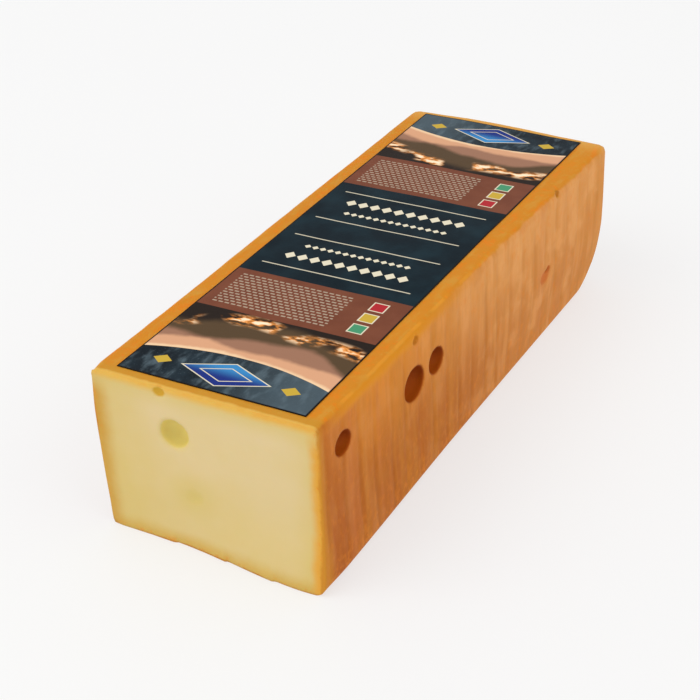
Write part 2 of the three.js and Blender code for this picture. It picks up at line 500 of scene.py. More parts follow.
@dataclass(frozen=True)
class BarForm:
    """The sizes of the bar in millimetres, the same as its solid has."""

    width: float = 113.0
    length: float = 311.2
    height: float = 80.0
    cut_edge: float = 0.6
    top_edge: float = 3.4
    base_edge: float = 4.0
    heel_top: float = 6.5
    heel_side: float = 6.5
    heel_base: float = 23.0
    heel_lean: float = 4.6
    heel_crown: float = 2.0
    foot_swell: float = -0.7
    corner_swell: float = 4.9
    corner_x: float = 42.0
    corner_reach: float = 65.0
    corner_round: float = 5.5
    corner_round_reach: float = 20.0
    swell_height: float = 34.0
    middle_swell: float = 0.5
    side_inset: float = 3.4
    side_widening: Span = (0.3, 0.95)
    side_splay: float = 1.6
    splay_reach: float = 0.47
    left_inset: float = 1.4
    left_reach_y: float = 70.0
    left_reach_z: float = 60.0
    left_top: float = 1.0
    left_top_reach: float = 9.0
    left_top_height: float = 22.0
    top_sink: float = 1.6
    sink_from_x: float = -0.6
    sink_from: float = 0.5
    groove_pitch: float = 13.6
    groove_first: float = 5.6
    groove_jitter: float = 1.2
    groove_half_width: float = 2.2
    groove_fade: float = 9.0
    groove_seed: int = 11
    tear_places: tuple[float, ...] = (-22.4, 5.1, 31.0)
    tear_reach: float = 13.0
    tear_height: float = 9.0
    tear_step: float = 0.06

    @property
    def half_x(self) -> float:
        """Half the bar's full width."""
        return self.width / 2

    @property
    def half_y(self) -> float:
        """Half the bar's full length."""
        return self.length / 2

    @property
    def cut_y(self) -> float:
        """The cut face's place along its top edge, behind the swelling of its foot."""
        return -self.half_y + self.foot_swell + self.corner_swell

    def share_along(self, y: np.ndarray) -> np.ndarray:
        """How far along the bar a point lies, from 0 at the cut face to 1 at the heel."""
        return (y - self.cut_y) / (self.half_y - self.cut_y)

    def grooves(self) -> list[float]:
        """The Y of each groove's valley, a pitch apart give or take the jitter."""
        state = self.groove_seed
        places = []
        count = math.floor((self.length - self.heel_base - self.groove_first) / self.groove_pitch)
        for number in range(count):
            state = state * DRAW_FACTOR % DRAW_LIMIT
            draw = state / DRAW_LIMIT * 2 - 1
            place = self.groove_first + self.groove_pitch * number + self.groove_jitter * draw
            places.append(self.cut_y + place)
        return places

    def rungs(self, y: np.ndarray) -> np.ndarray:
        """A count of the grooves along the bar that is whole in each valley.

        Args:
            y: Places along it.

        Returns:
            The count, which runs on evenly past the first and the last groove.
        """
        places = self.grooves()
        first = places[0] - self.groove_pitch * 2
        last = places[-1] + self.groove_pitch * 4
        return np.interp(y, [first, *places, last], [-2, *range(len(places)), len(places) + 3])

    def groove_shares(self, y: np.ndarray) -> np.ndarray:
        """How near each point is to a groove's valley, from 0 at the banks to 1."""
        nearness = [1 - np.abs(y - at) / self.groove_half_width for at in self.grooves()]
        return np.clip(np.max(nearness, axis=0), 0, 1)

    def top_sinking(self, x: np.ndarray, y: np.ndarray) -> np.ndarray:
        """How far the top has sunk, in millimetres."""
        towards_right = smoothstep(x, self.half_x * self.sink_from_x, self.half_x)
        return self.top_sink * towards_right * smoothstep(self.share_along(y), self.sink_from, 1)

    def right_insetting(self, y: np.ndarray, z: np.ndarray) -> np.ndarray:
        """How far the right side lies inside its widest place, in millimetres.

        Args:
            y: Places along it.
            z: Heights.

        Returns:
            One distance for each point.
        """
        along = self.share_along(y)
        high = smoothstep(z, 0, self.height / 2)
        splay = (1 - smoothstep(along, 0, self.splay_reach)) * (1 - high)
        inset = self.side_inset * (1 - smoothstep(along, *self.side_widening) * high)
        return inset - self.side_splay * splay

    def left_insetting(self, y: np.ndarray, z: np.ndarray) -> np.ndarray:
        """How far the left side draws in near the cut face, at its foot and its top, in millimetres.

        Args:
            y: Places along it.
            z: Heights.

        Returns:
            One distance for each point.
        """
        from_cut = y - self.cut_y
        at_foot = (1 - smoothstep(from_cut, 0, self.left_reach_y)) * (1 - smoothstep(z, 0, self.left_reach_z))
        at_top = smoothstep(z, self.height - self.left_top_height, self.height)
        at_top = at_top * (1 - smoothstep(from_cut, 0, self.left_top_reach))
        return self.left_inset * at_foot + self.left_top * at_top

    def heel_insetting(self, x: np.ndarray, z: np.ndarray) -> np.ndarray:
        """How far the heel lies inside the bar's full length, in millimetres."""
        return self.heel_lean * (1 - z / self.height) ** 2 + self.heel_crown * (x / self.half_x) ** 2

    def cut_swelling(self, x: np.ndarray, z: np.ndarray) -> np.ndarray:
        """How far the cut face stands in front of its top edge, in millimetres.

        Args:
            x: Places across the bar, before it settles.
            z: Heights.

        Returns:
            One distance for each point.
        """
        at_corner = 1 - smoothstep(np.abs(x - self.corner_x), 0, self.corner_reach)
        at_base = 1 - smoothstep(z, 0, self.swell_height)
        middle = np.cos(x / self.half_x * math.pi / 2) * np.sin(z / self.height * math.pi)
        return (self.foot_swell + self.corner_swell * at_corner) * at_base + self.middle_swell * middle

    def corner_rounding(self, x: np.ndarray, y: np.ndarray, z: np.ndarray) -> tuple[np.ndarray, np.ndarray]:
        """How the right foot's rounding is fuller at the cut than along the rest of the side.

        Args:
            x: Places across the bar, before it settles.
            y: Places along it.
            z: Heights.

        Returns:
            How far each point moves along X and along Z, in millimetres.
        """
        radius = self.corner_round
        out = np.clip(x - (self.half_x - radius), 0, None)
        down = np.clip(radius - z, 0, None)
        beyond = np.clip(np.hypot(out, down) - radius, 0, None) / np.maximum(np.hypot(out, down), radius)
        beyond = beyond * (1 - smoothstep(y - self.cut_y, 0, self.corner_round_reach))
        return -out * beyond, down * beyond

    def foot_tears(self, x: np.ndarray, z: np.ndarray) -> np.ndarray:
        """Small steps that the knife left along the foot of the cut, from -1 to 1.

        Args:
            x: Places across the bar, before it settles.
            z: Heights.

        Returns:
            One share for each point.
        """
        steps = np.zeros(len(x))
        for place in self.tear_places:
            offset = (x - place) / self.tear_reach
            fade = np.clip(1 - np.abs(offset), 0, 1)
            steps += (smoothstep(offset, -self.tear_step, self.tear_step) * 2 - 1) * fade
        return steps * (1 - smoothstep(z, 0, self.tear_height))


# ---- the cheese


# Each hollow's face, along, down, width, height, depth and, where it differs, how far it is sunk.
EYES = (
    Hollow(Face.RIGHT, 19.4, 17.8, 12.2, 10.4, 6),
    Hollow(Face.RIGHT, 83, 26, 17.4, 15.6, 8),
    Hollow(Face.RIGHT, 104.2, 25.8, 13.4, 12, 6.6),
    Hollow(Face.RIGHT, 85.4, 5.5, 6, 4.6, 1.6, -0.6),
    Hollow(Face.RIGHT, 223.5, 41.8, 11, 7.6, 1.6, -1),
    Hollow(Face.RIGHT, 227.4, 39.2, 5.4, 3.8, 3.2, 0.2),
    Hollow(Face.RIGHT, 238, 1.6, 5.4, 4.2, 1.4, -0.6),
    Hollow(Face.LEFT, 58, 38, 14, 13, 6.8),
    Hollow(Face.LEFT, 141, 21, 12, 11, 6),
    Hollow(Face.LEFT, 161, 27, 17, 15, 8),
    Hollow(Face.LEFT, 250, 34, 13, 12, 6.4),
    Hollow(Face.LEFT, 205, 56, 9, 8, 1.5, -1),
    Hollow(Face.CUT, 40.4, 21.6, 13.6, 13.2, 5.2, 0.1),
    Hollow(Face.CUT, 34.4, 2.6, 6.4, 4.6, 1.1, -0.8),
    Hollow(Face.CUT, 47.6, 51.1, 9.5, 8.5, 0.6, -1),
    Hollow(Face.HEEL, 36, 25, 12, 11, 6),
    Hollow(Face.HEEL, 78, 38, 8, 7, 1.4, -1),
)


@dataclass
class CheeseBar:
    """The block of cheese: rounded, grooved and settled, with its eyes cut in."""

    form: BarForm = BarForm()
    hollows: tuple[Hollow, ...] = EYES
    fineness: float = 0.98
    heel_segments: int = 14
    edge_segments: int = 6
    near: float = 0.1
    ball_segments: int = 48
    ball_rings: int = 28
    ball_lump: float = 0.7
    eye_unevenness: float = 0.035
    deepest_dent: float = 3.2
    rim_reach: float = 0.3
    rim_smoothing: int = 7
    wall_margin: Span = (1.04, 1.14)
    lip: float = 0.3
    # How far the painted shade and light inside the side eyes reach, and how much they slant across each eye.
    eye_shading_reach: float = 1.4
    eye_shading_slant: float = 0.3
    paste_depth: Span = (0.3, 1.5)
    halo_reach: Span = (1.0, 1.5)
    dimple_reach: Span = (0.6, 3.4)
    ring_reach: Span = (0.9, 1.12)
    swell_fade: float = 30.0
    off_base: Span = (0.5, 6.0)
    off_cut: Span = (0.5, 1.5)
    groove_depth: float = 0.35
    groove_edge: Span = (3.0, 1.2)
    groove_clearance: Span = (1.1, 1.8)
    tear_depth: float = 0.4
    lump_size: float = 40.0
    lump_height: float = 0.6
    pucker_size: float = 7.0
    pucker_height: float = 0.16
    piece: Workpiece = field(init=False)

    def build(self) -> Workpiece:
        """Makes the block's mesh.

        Returns:
            The block, with the attributes that its finish reads.
        """
        self.block_out()
        self.round_edges()
        for hollow in self.hollows:
            self.cut(hollow)
        self.piece.modify("REMESH", mode="SHARP", octree_depth=8, scale=self.fineness, use_smooth_shade=True)
        self.soften_rims()
        self.paint_for_finish()
        self.settle()
        return self.piece

    def block_out(self) -> None:
        """A box from the cut face to the heel, its heel rounded into the base."""
        form = self.form
        low = Vector((-form.half_x, form.cut_y, 0))
        high = Vector((form.half_x, form.half_y, form.height))
        deselect_all()
        bpy.ops.mesh.primitive_cube_add(size=MM, location=(low + high) / 2 * MM)
        self.piece = Workpiece("cheese_bar_dressed", high - low)
        points = self.piece.points()
        heel_foot = (points[:, 1] > form.half_y - 1) & (points[:, 2] < 1)
        self.piece.edit(
            heel_foot,
            lambda: bpy.ops.mesh.bevel(
                offset=form.heel_base * MM, segments=self.heel_segments, profile=0.5, affect="EDGES"
            ),
        )

    def edge_radius(self, start: Vector, end: Vector) -> float:
        """The rounding of one of the box's edges.

        Args:
            start: One end of the edge, in millimetres.
            end: The other end.

        Returns:
            Its radius, or zero where two strips of the heel's rounding meet.
        """
        form = self.form
        middle = (start + end) / 2
        at_side = abs(middle.x) > form.half_x - self.near
        at_heel = float(smoothstep(middle.y, form.half_y - form.heel_base, form.half_y - form.heel_side))
        if middle.y < form.cut_y + self.near:
            return form.cut_edge
        if middle.z > form.height - self.near:
            return form.top_edge if at_side else form.heel_top
        return form.base_edge + (form.heel_side - form.base_edge) * at_heel if at_side else 0.0

    def round_edges(self) -> None:
        """Rounds every edge to its own radius with one weighted bevel."""
        mesh = self.piece.mesh
        places = [Vector(row) for row in self.piece.points()]
        weights = mesh.attributes.new("bevel_weight_edge", "FLOAT", "EDGE")
        widest = self.form.heel_side
        for edge in mesh.edges:
            start, end = (places[index] for index in edge.vertices)
            weights.data[edge.index].value = self.edge_radius(start, end) / widest
        self.piece.modify(
            "BEVEL",
            limit_method="WEIGHT",
            width=widest * MM,
            segments=self.edge_segments,
            use_clamp_overlap=False,
        )

    def centre(self, hollow: Hollow) -> Vector:
        """Where a hollow's centre lies on the box, in millimetres.

        Args:
            hollow: The hollow.

        Returns:
            Its centre.
        """
        form = self.form
        corner = {
            Face.RIGHT: Vector((form.half_x, form.cut_y, form.height)),
            Face.LEFT: Vector((-form.half_x, form.half_y, form.height)),
            Face.CUT: Vector((-form.half_x, form.cut_y, form.height)),
            Face.HEEL: Vector((form.half_x, form.half_y, form.height)),
        }[hollow.face]
        above_edge = max(form.top_edge - hollow.down, 0.0)
        rounded_off = form.top_edge - math.sqrt(form.top_edge**2 - above_edge**2)
        place = corner + hollow.face.rightward * hollow.along - Vector((0, 0, hollow.down))
        return place - hollow.face.outward * (hollow.centre_depth + rounded_off)

    def cut(self, hollow: Hollow) -> None:
        """Cuts one hollow with a slightly uneven ball.

        Args:
            hollow: The hollow.
        """
        deselect_all()
        place = self.centre(hollow) * MM
        bpy.ops.mesh.primitive_uv_sphere_add(
            segments=self.ball_segments, ring_count=self.ball_rings, radius=MM, location=place
        )
        ball = Workpiece("eye_ball", hollow.half_axes())
        everywhere = np.ones(len(ball.mesh.vertices))
        lump = hollow.wide * self.ball_lump
        ball.roughen("eye_unevenness", everywhere, lump, self.eye_unevenness * hollow.wide * 2)
        ball.apply_modifiers()
        self.piece.modify("BOOLEAN", operation="DIFFERENCE", solver="EXACT", object=ball.object)
        bpy.data.objects.remove(ball.object)

    def hollow_depth(self, points: np.ndarray, faces: set[Face], eyes: bool) -> np.ndarray:
        """How deep in a hollow each point lies.

        Args:
            points: The vertices before the bar settles.
            faces: Which faces' hollows count.
            eyes: Whether to look at eyes, or at dents.

        Returns:
            Nothing outside, rising to 1 at the deepest.
        """
        depth = np.zeros(len(points))
        for hollow in self.hollows:
            if hollow.face not in faces or hollow.is_eye != eyes:
                continue
            axes = np.array(hollow.half_axes())
            centre = np.array(self.centre(hollow))
            inside = 1 - smoothstep(np.linalg.norm((points - centre) / axes, axis=1), *self.wall_margin)
            face = centre + np.array(hollow.face.outward) * hollow.centre_depth
            below = (face - points) @ np.array(hollow.face.outward)
            deepest = hollow.deep if eyes else self.deepest_dent
            depth = np.maximum(depth, inside * np.clip((below + self.lip) / deepest, 0.0, 1.0))
        return depth

    def spread(self, points: np.ndarray, hollow: Hollow) -> np.ndarray:
        """How far points lie from a hollow's middle along its face, as a share of its radius.

        Args:
            points: The vertices before the bar settles.
            hollow: The hollow.

        Returns:
            The share, which is 1 at the rim, and very large on the bar's other faces.
        """
        outward = np.array(hollow.face.outward)
        offset = points - np.array(self.centre(hollow))
        share = np.linalg.norm(offset / np.array(hollow.half_axes()) * (1 - np.abs(outward)), axis=1)
        return np.where(np.abs(offset @ outward) < self.form.half_x / 2, share, np.inf)

    def nearest_spread(self, points: np.ndarray, faces: set[Face], eyes: bool) -> np.ndarray:
        """The least spread of points from the hollows of some faces, or from their eyes alone."""
        chosen = [h for h in self.hollows if h.face in faces and (h.is_eye or not eyes)]
        return np.min([self.spread(points, hollow) for hollow in chosen], axis=0)

    def eye_shading_slope(self, points: np.ndarray) -> np.ndarray:
        """Where points lie in the nearest eye of a side, for the painted shade and light inside it: below
        zero at its top, above zero at its bottom.

        Args:
            points: The vertices before the bar settles.

        Returns:
            One place for each point, and zero outside eyes.
        """
        place = np.zeros(len(points))
        for hollow in self.hollows:
            if not hollow.is_eye or hollow.face is Face.CUT:
                continue
            inside = self.spread(points, hollow) < self.eye_shading_reach
            offset = points - np.array(self.centre(hollow))
            across = offset @ np.array(hollow.face.rightward) / (hollow.wide / 2)
            down = -offset[:, 2] / (hollow.tall / 2)
            place = np.where(inside, self.eye_shading_slant * across + down, place)
        return place

    def soften_rims(self) -> None:
        """Rounds the rim of each hollow, where the rind has drawn in with age."""
        spread = self.nearest_spread(self.piece.points(), set(Face), eyes=False)
        rim = np.clip(1 - np.abs(spread - 1) / self.rim_reach, 0, 1)
        group = self.piece.weigh("rims", smoothstep(rim, 0, 0.5))
        self.piece.modify("SMOOTH", factor=0.5, iterations=self.rim_smoothing, vertex_group=group)

    def paint_for_finish(self) -> None:
        """Paints on the mesh what its finish reads, before the block settles."""
        form, points = self.form, self.piece.points()
        rind, cut = {Face.RIGHT, Face.LEFT, Face.HEEL}, {Face.CUT}
        dimple = next(h for h in self.hollows if h.face is Face.CUT and h.deep < DIMPLE_DEPTH)
        painted = {
            "rung": form.rungs(points[:, 1]),
            "paste": 1 - smoothstep(points[:, 1] - form.cut_y, *self.paste_depth),
            "rind_eye": self.hollow_depth(points, rind, eyes=True),
            "rind_dent": self.hollow_depth(points, rind, eyes=False),
            "paste_eye": self.hollow_depth(points, cut, eyes=True),
            "paste_dent": self.hollow_depth(points, cut, eyes=False),
            "halo": 1 - smoothstep(self.nearest_spread(points, cut, eyes=True), *self.halo_reach),
            "dimple": 1 - smoothstep(self.spread(points, dimple), *self.dimple_reach),
            "ring": 1 - smoothstep(self.nearest_spread(points, rind, eyes=True), *self.ring_reach),
            "eye_shading_slope": self.eye_shading_slope(points),
        }
        for name, values in painted.items():
            self.piece.paint(name, values)

    def grooving(self, points: np.ndarray) -> np.ndarray:
        """How far each point sinks into a groove of the long sides, in millimetres.

        Args:
            points: The vertices before the bar settles.

        Returns:
            One depth for each point.
        """
        form = self.form
        x, y, z = points.T
        on_side = smoothstep(np.abs(x), *(form.half_x - inwards for inwards in self.groove_edge))
        fade = smoothstep(form.height - z, 1, form.groove_fade) * smoothstep(z, 1, form.groove_fade)
        fade = fade * smoothstep(self.nearest_spread(points, set(Face), eyes=False), *self.groove_clearance)
        return self.groove_depth * smoothstep(form.groove_shares(y), 0, 1) * fade * on_side

    def settle(self) -> None:
        """Sinks, swells, grooves and puckers the block."""
        form, piece = self.form, self.piece
        points = piece.points()
        x, y, z = points.T
        cut_depth = y - form.cut_y
        near_cut = 1 - smoothstep(cut_depth, 0, self.swell_fade)
        near_heel = smoothstep(y, form.half_y - 2 * form.heel_base, form.half_y - form.heel_base)
        off_base = smoothstep(z, *self.off_base)
        off_cut = smoothstep(cut_depth, *self.off_cut)
        right, left = np.clip(x / form.half_x, 0, 1), np.clip(-x / form.half_x, 0, 1)
        corner_in, corner_up = form.corner_rounding(x, y, z)
        for name, distances, direction in (
            ("top_sink", -form.top_sinking(x, y) * z / form.height, "Z"),
            ("right_inset", -form.right_insetting(y, z) * right, "X"),
            ("left_inset", form.left_insetting(y, z) * left, "X"),
            ("heel_inset", -form.heel_insetting(x, z) * near_heel, "Y"),
            ("cut_swell", -form.cut_swelling(x, z) * near_cut, "Y"),
            ("foot_tears", self.tear_depth * form.foot_tears(x, z) * near_cut, "Y"),
            ("corner_in", corner_in, "X"),
            ("corner_up", corner_up, "Z"),
            ("grooves", -self.grooving(points), "NORMAL"),
        ):
            piece.push(name, distances, direction)
        piece.roughen("lumps", off_base, self.lump_size, self.lump_height)
        piece.roughen("puckers", off_base * off_cut, self.pucker_size, self.pucker_height)
        piece.apply_modifiers()
        LOG.info("settled bar: %d vertices", len(points))


@dataclass(frozen=True)
class CheeseFinish:
    """Smoked rind and pale paste in one skin, parted by what is painted on the mesh."""

    form: BarForm
    top_rind: tuple = srgb(210, 133, 34)
    top_pale: tuple = srgb(208, 148, 54)
    top_orange: tuple = srgb(227, 125, 20)
    top_cut: tuple = srgb(200, 144, 46)
    near_low: tuple = srgb(178, 99, 28)
    near_high: tuple = srgb(213, 132, 44)
    far_low: tuple = srgb(198, 125, 56)
    far_high: tuple = srgb(220, 152, 83)
    front_red: tuple = srgb(166, 82, 24)
    heel_gold: tuple = srgb(206, 134, 50)
    bank_red: tuple = srgb(198, 116, 60)
    bank_gold: tuple = srgb(194, 122, 40)
    side_pale: tuple = srgb(232, 166, 100)
    side_dark: tuple = srgb(164, 94, 34)
    edge_rind: tuple = srgb(216, 138, 28)
    # Painted highlight for the rounded top edge of the sides.
    painted_edge_highlight: tuple = srgb(232, 158, 50)
    cut_edge: tuple = srgb(196, 124, 36)
    heel_pale: tuple = srgb(226, 172, 88)
    groove_near: tuple = srgb(146, 74, 6)
    groove_far: tuple = srgb(182, 108, 34)
    speck: tuple = srgb(222, 130, 38)
    dent_gold: tuple = srgb(178, 108, 8)
    dent_red: tuple = srgb(200, 108, 50)
    pit_dark: tuple = srgb(116, 66, 8)
    eye_ring: tuple = srgb(166, 86, 24)
    # The smoke's brown inside the side eyes, in a shaded and a lit copy for the painted shade and light
    # there.
    eye_brown_shaded: tuple = srgb(134, 54, 4)
    eye_brown_lit: tuple = srgb(161, 72, 2)
    paste: tuple = srgb(219, 196, 148)
    paste_warm: tuple = srgb(212, 187, 118)
    paste_left: tuple = srgb(200, 154, 66)
    paste_right: tuple = srgb(220, 160, 62)
    paste_top: tuple = srgb(222, 176, 82)
    paste_top_orange: tuple = srgb(222, 146, 48)
    paste_foot: tuple = srgb(204, 166, 78)
    paste_rim: tuple = srgb(196, 130, 40)
    paste_eye: tuple = srgb(222, 201, 114)
    paste_eye_deep: tuple = srgb(208, 187, 102)
    paste_halo: tuple = srgb(214, 192, 130)
    paste_dimple: tuple = srgb(208, 184, 104)
    paste_notch: tuple = srgb(202, 156, 50)
    line_width: float = 2.8
    line_strength: float = 0.32
    relief: float = 0.3

    def make(self) -> bpy.types.Material:
        """Builds the material."""
        shader = Shader("smoked_cheese")
        point, x, y, z = shader.place()
        rind = self.rind_colour(shader, point, y, z)
        paste = self.paste_colour(shader, point, x, z)
        in_hollow = shader.attribute("paste_eye").most(shader.attribute("paste_dent")).ramp(0.0, 0.1)
        is_paste = shader.attribute("paste").most(in_hollow)
        colour = shader.mix(is_paste, rind, paste)
        streaks = shader.noise(point, 3.2, 3.0, (1, 1, 6))
        grain = shader.noise(point, 0.9, 3.0)
        pits = shader.noise(point, 3.2, 2.0).ramp(0.6, 0.8)
        rind_height = streaks * 0.25 + grain * 0.25 - pits * 0.35
        paste_height = shader.noise(point, 2.2, 3.0, (6, 1, 1)) * 0.2 + grain * 0.1
        height = is_paste * paste_height + (1 - is_paste) * rind_height
        roughness = 0.5 + 0.2 * shader.noise(point, 5.0) - is_paste * 0.08
        return shader.finish(
            colour,
            roughness,
            shader.bump(height, self.relief),
            Subsurface_Weight=0.15,
            Subsurface_Radius=(1.0, 0.5, 0.2),
            Subsurface_Scale=0.002,
            Specular_IOR_Level=0.08,
        )

    def groove_lines(self, shader: Shader, point: Sock, z: Sock) -> Sock:
        """The soft dark line in each groove's valley, broken and faded here and there.

        Args:
            shader: The shader.
            point: The point on the piece, in metres.
            z: Its height, in millimetres.

        Returns:
            How much of the line shows, from 0 to 1.
        """
        wander = (shader.noise(point, 22.0, 2.0) - 0.5) * 0.24
        offset = abs((shader.attribute("rung") + 0.5 + wander).wrapped(1.0) - 0.5) * self.form.groove_pitch
        fade = z.ramp(self.form.height - 6, self.form.height - 20)
        broken = shader.noise(point, 17.0, 3.0, (1, 1, 2)).ramp(0.36, 0.64)
        return offset.ramp(self.line_width, 0.0) * fade * broken

    def from_cut(self, y: Sock, low: float, high: float) -> Sock:
        """A smooth rise between two distances from the cut face; with high below low, a fall."""
        return y.ramp(self.form.cut_y + low, self.form.cut_y + high)

    def side_colour(self, shader: Shader, point: Sock, y: Sock, z: Sock) -> Colour:
        """The long sides: browner towards the cut and the base, in upright banks of their own tones.

        Args:
            shader: The shader.
            point: The point on the piece, in metres.
            y: Its place along, in millimetres.
            z: Its height, in millimetres.

        Returns:
            The colour.
        """
        height = self.form.height
        along = self.from_cut(y, 90, 220)
        low_tone = shader.mix(along, self.near_low, self.far_low)
        high_tone = shader.mix(self.from_cut(y, 60, 165), self.near_high, self.far_high)
        banks = shader.noise(point, 12.0, 2.0, (1, 1, 30))
        bands = shader.noise(point, 8.5, 2.0, (1, 1, 5))
        clouds = shader.noise(point, 17.0, 4.0)
        mottle = shader.noise(point, 2.8, 4.0, (1, 1, 1.6)).ramp(0.48, 0.75)
        grain = shader.noise(point, 2.4, 3.0, (1, 1, 5)).ramp(0.45, 0.75)
        foot = z.ramp(height * 0.3, 0.0) * shader.noise(point, 3.5, 4.0).ramp(0.5, 0.66)
        wander = 4.0 * (shader.noise(point, 26.0, 3.0) - 0.5)
        golden = (z + wander).ramp(height - 7.5, height - 3.0) * self.from_cut(y, 160, 80)
        return shader.layered(
            shader.mix(z.ramp(height * 0.28, height * 0.95), low_tone, high_tone),
            (self.from_cut(y, 50, 0) * 0.6, self.front_red),
            (self.from_cut(y, 250, 290) * 0.45, self.heel_gold),
            (banks.ramp(0.52, 0.68) * (0.45 - 0.2 * along), self.bank_red),
            (banks.ramp(0.46, 0.32) * (0.45 - 0.2 * along), self.bank_gold),
            (bands.ramp(0.5, 0.7) * (0.12 + 0.22 * along), self.side_pale),
            (bands.ramp(0.48, 0.3) * (0.12 - 0.02 * along), self.side_dark),
            (clouds.ramp(0.5, 0.7) * (0.1 + 0.35 * along), self.side_pale),
            (clouds.ramp(0.47, 0.3) * 0.26, shader.mix(along, self.bank_gold, self.bank_red)),
            (mottle * (0.26 + 0.12 * along), self.speck),
            (grain * (0.16 - 0.1 * along), self.side_dark),
            (
                self.groove_lines(shader, point, z) * self.line_strength,
                shader.mix(along, self.groove_near, self.groove_far),
            ),
            (foot * 0.4, self.speck),
            (golden * self.from_cut(y, 0, 30), self.edge_rind),
            (self.from_cut(y + wander * 0.5, 6, 0.5), self.cut_edge),
        )

    def top_colour(self, shader: Shader, point: Sock, y: Sock) -> Colour:
        """The top rind: orange and gold in streaks along the bar, and paler beside the cut.

        Args:
            shader: The shader.
            point: The point on the piece, in metres.
            y: Its place along, in millimetres.

        Returns:
            The colour.
        """
        streaks = shader.noise(point, 4.5, 4.0, (1, 3, 1))
        flecks = shader.noise(point, 3.2, 3.0)
        inwards = y - self.form.cut_y + (shader.noise(point, 5.0, 3.0) - 0.5) * 2.0
        return shader.layered(
            self.top_rind,
            (shader.noise(point, 26.0, 3.0).ramp(0.35, 0.7) * 0.5, self.edge_rind),
            (streaks.ramp(0.5, 0.7) * 0.7, self.top_pale),
            (streaks.ramp(0.46, 0.3) * 0.6, self.top_orange),
            (flecks.ramp(0.56, 0.7) * 0.55, self.top_orange),
            (flecks.ramp(0.44, 0.3) * 0.5, self.top_pale),
            (inwards.ramp(9.0, 4.0) * 0.8, self.top_cut),
            (inwards.ramp(2.6, 0.8), self.paste_top),
        )

    def rind_colour(self, shader: Shader, point: Sock, y: Sock, z: Sock) -> Colour:
        """The smoked rind: golden on top with a painted highlight along its top edges, its sides browner, and
        dark in its eyes, with painted shade and light inside them.

        Args:
            shader: The shader.
            point: The point on the piece, in metres.
            y: Its place along, in millimetres.
            z: Its height, in millimetres.

        Returns:
            The colour.
        """
        form = self.form
        normal = shader.node("ShaderNodeNewGeometry", {}, {}, "Normal")
        upward = shader.node("ShaderNodeSeparateXYZ", {}, {0: normal}, 2)
        border = upward + (shader.noise(point, 9.0, 3.0) - 0.5) * 0.8
        # Painted highlight: a paler line on the rounding of the top edge, in the half nearer the cut, where
        # light catches the edge.
        crest_highlight = upward.ramp(0.6, 0.8) * upward.ramp(0.98, 0.9) * self.from_cut(y, 190, 110)
        crest_highlight = crest_highlight * shader.noise(point, 11.0, 3.0).ramp(0.35, 0.6)
        at_heel = y.ramp(form.half_y - 22, form.half_y - 3) * z.ramp(form.height - 9, form.height)
        dent = shader.attribute("rind_dent")
        dent_tone = shader.mix(z.ramp(form.height - 16, form.height - 9), self.dent_red, self.dent_gold)
        eye_shading_slope = shader.attribute("eye_shading_slope").ramp(-0.1, 1.0)
        return shader.layered(
            self.side_colour(shader, point, y, z),
            (border.ramp(0.5, 0.92), self.top_colour(shader, point, y)),
            (crest_highlight * 0.5, self.painted_edge_highlight),
            (at_heel * 0.75, self.heel_pale),
            (dent.ramp(0.1, 0.4) * 0.8, dent_tone),
            (dent.ramp(0.62, 0.75), self.pit_dark),
            (shader.attribute("ring") * 0.45, self.eye_ring),
            # Inside each side eye: the smoke's dark brown, with painted shade towards its top and left and
            # painted light towards its bottom and right.
            (shader.attribute("rind_eye").ramp(0.0, 0.12), shader.mix(eye_shading_slope, self.eye_brown_shaded, self.eye_brown_lit)),
        )

    def paste_colour(self, shader: Shader, point: Sock, x: Sock, z: Sock) -> Colour:
        """The pale cut face, whose margins the smoke has stained, each to its own depth.

        Args:
            shader: The shader.
            point: The point on the piece, in metres.
            x: Its place across, in millimetres.
            z: Its height, in millimetres.

        Returns:
            The colour.
        """
        form = self.form
        wander = (shader.noise(point, 12.0, 3.0) - 0.5) * 3.6 + (shader.noise(point, 2.6, 4.0) - 0.5) * 1.2
        left = x + form.half_x + wander
        right = form.half_x - form.side_inset - x + wander
        top = form.height - z + wander * 0.5
        foot = z + wander
        cloud = shader.noise(point, 34.0, 3.0).ramp(0.35, 0.7) * 0.3
        warm = cloud + z.ramp(72, 4) * 0.55 + left.ramp(40, 4) * 0.6 + right.ramp(16, 2) * 0.5
        patches = shader.noise(point, 9.0, 3.0)
        orange = (patches + x / 240.0).ramp(0.42, 0.68) * 0.3
        specks = shader.noise(point, 2.2, 3.0).ramp(0.55, 0.7).most(patches.ramp(0.56, 0.66))
        margin = left.least(right).least(foot).ramp(3.4, 0.5)
        edge = left.least(right).least(foot * 1.4)
        eye = shader.attribute("paste_eye")
        dent = shader.attribute("paste_dent").ramp(0.02, 0.3)
        return shader.layered(
            self.paste,
            (warm.least(1.0), self.paste_warm),
            (foot.ramp(9.5, 0.5) * 0.9, self.paste_foot),
            (left.ramp(11.0, 1.0), self.paste_left),
            (right.ramp(6.5, 1.2), self.paste_right),
            (top.ramp(13.0, 2.0) * 0.75, self.paste_warm),
            (top.ramp(4.8, 0.4), self.paste_top),
            (top.ramp(2.4, 0.2) * orange, self.paste_top_orange),
            (margin * specks * 0.5, self.speck),
            (edge.ramp(1.5, -0.1) * 0.85, self.paste_rim),
            (shader.attribute("dimple") * 0.5, self.paste_dimple),
            (shader.attribute("halo").ramp(0.1, 0.9) * 0.5, self.paste_halo),
            (eye.ramp(0.02, 0.35), self.paste_eye),
            (eye.ramp(0.1, 0.6) * z.ramp(form.height - 20, form.height - 26), self.paste_eye_deep),
            (dent * 0.6, self.paste_dimple),
            (dent * top.ramp(9.0, 6.0), self.paste_notch),
        )


# ---- the label


@dataclass(frozen=True)
class LabelForm:
    """The label's sizes in millimetres, the same as its solid has."""

    width: float = 90.6
    length: float = 292.0
    thickness: float = 0.25
    from_cut: float = 6.0
    offset: float = -1.4
    turn: float = 0.22
    glue: float = 0.12


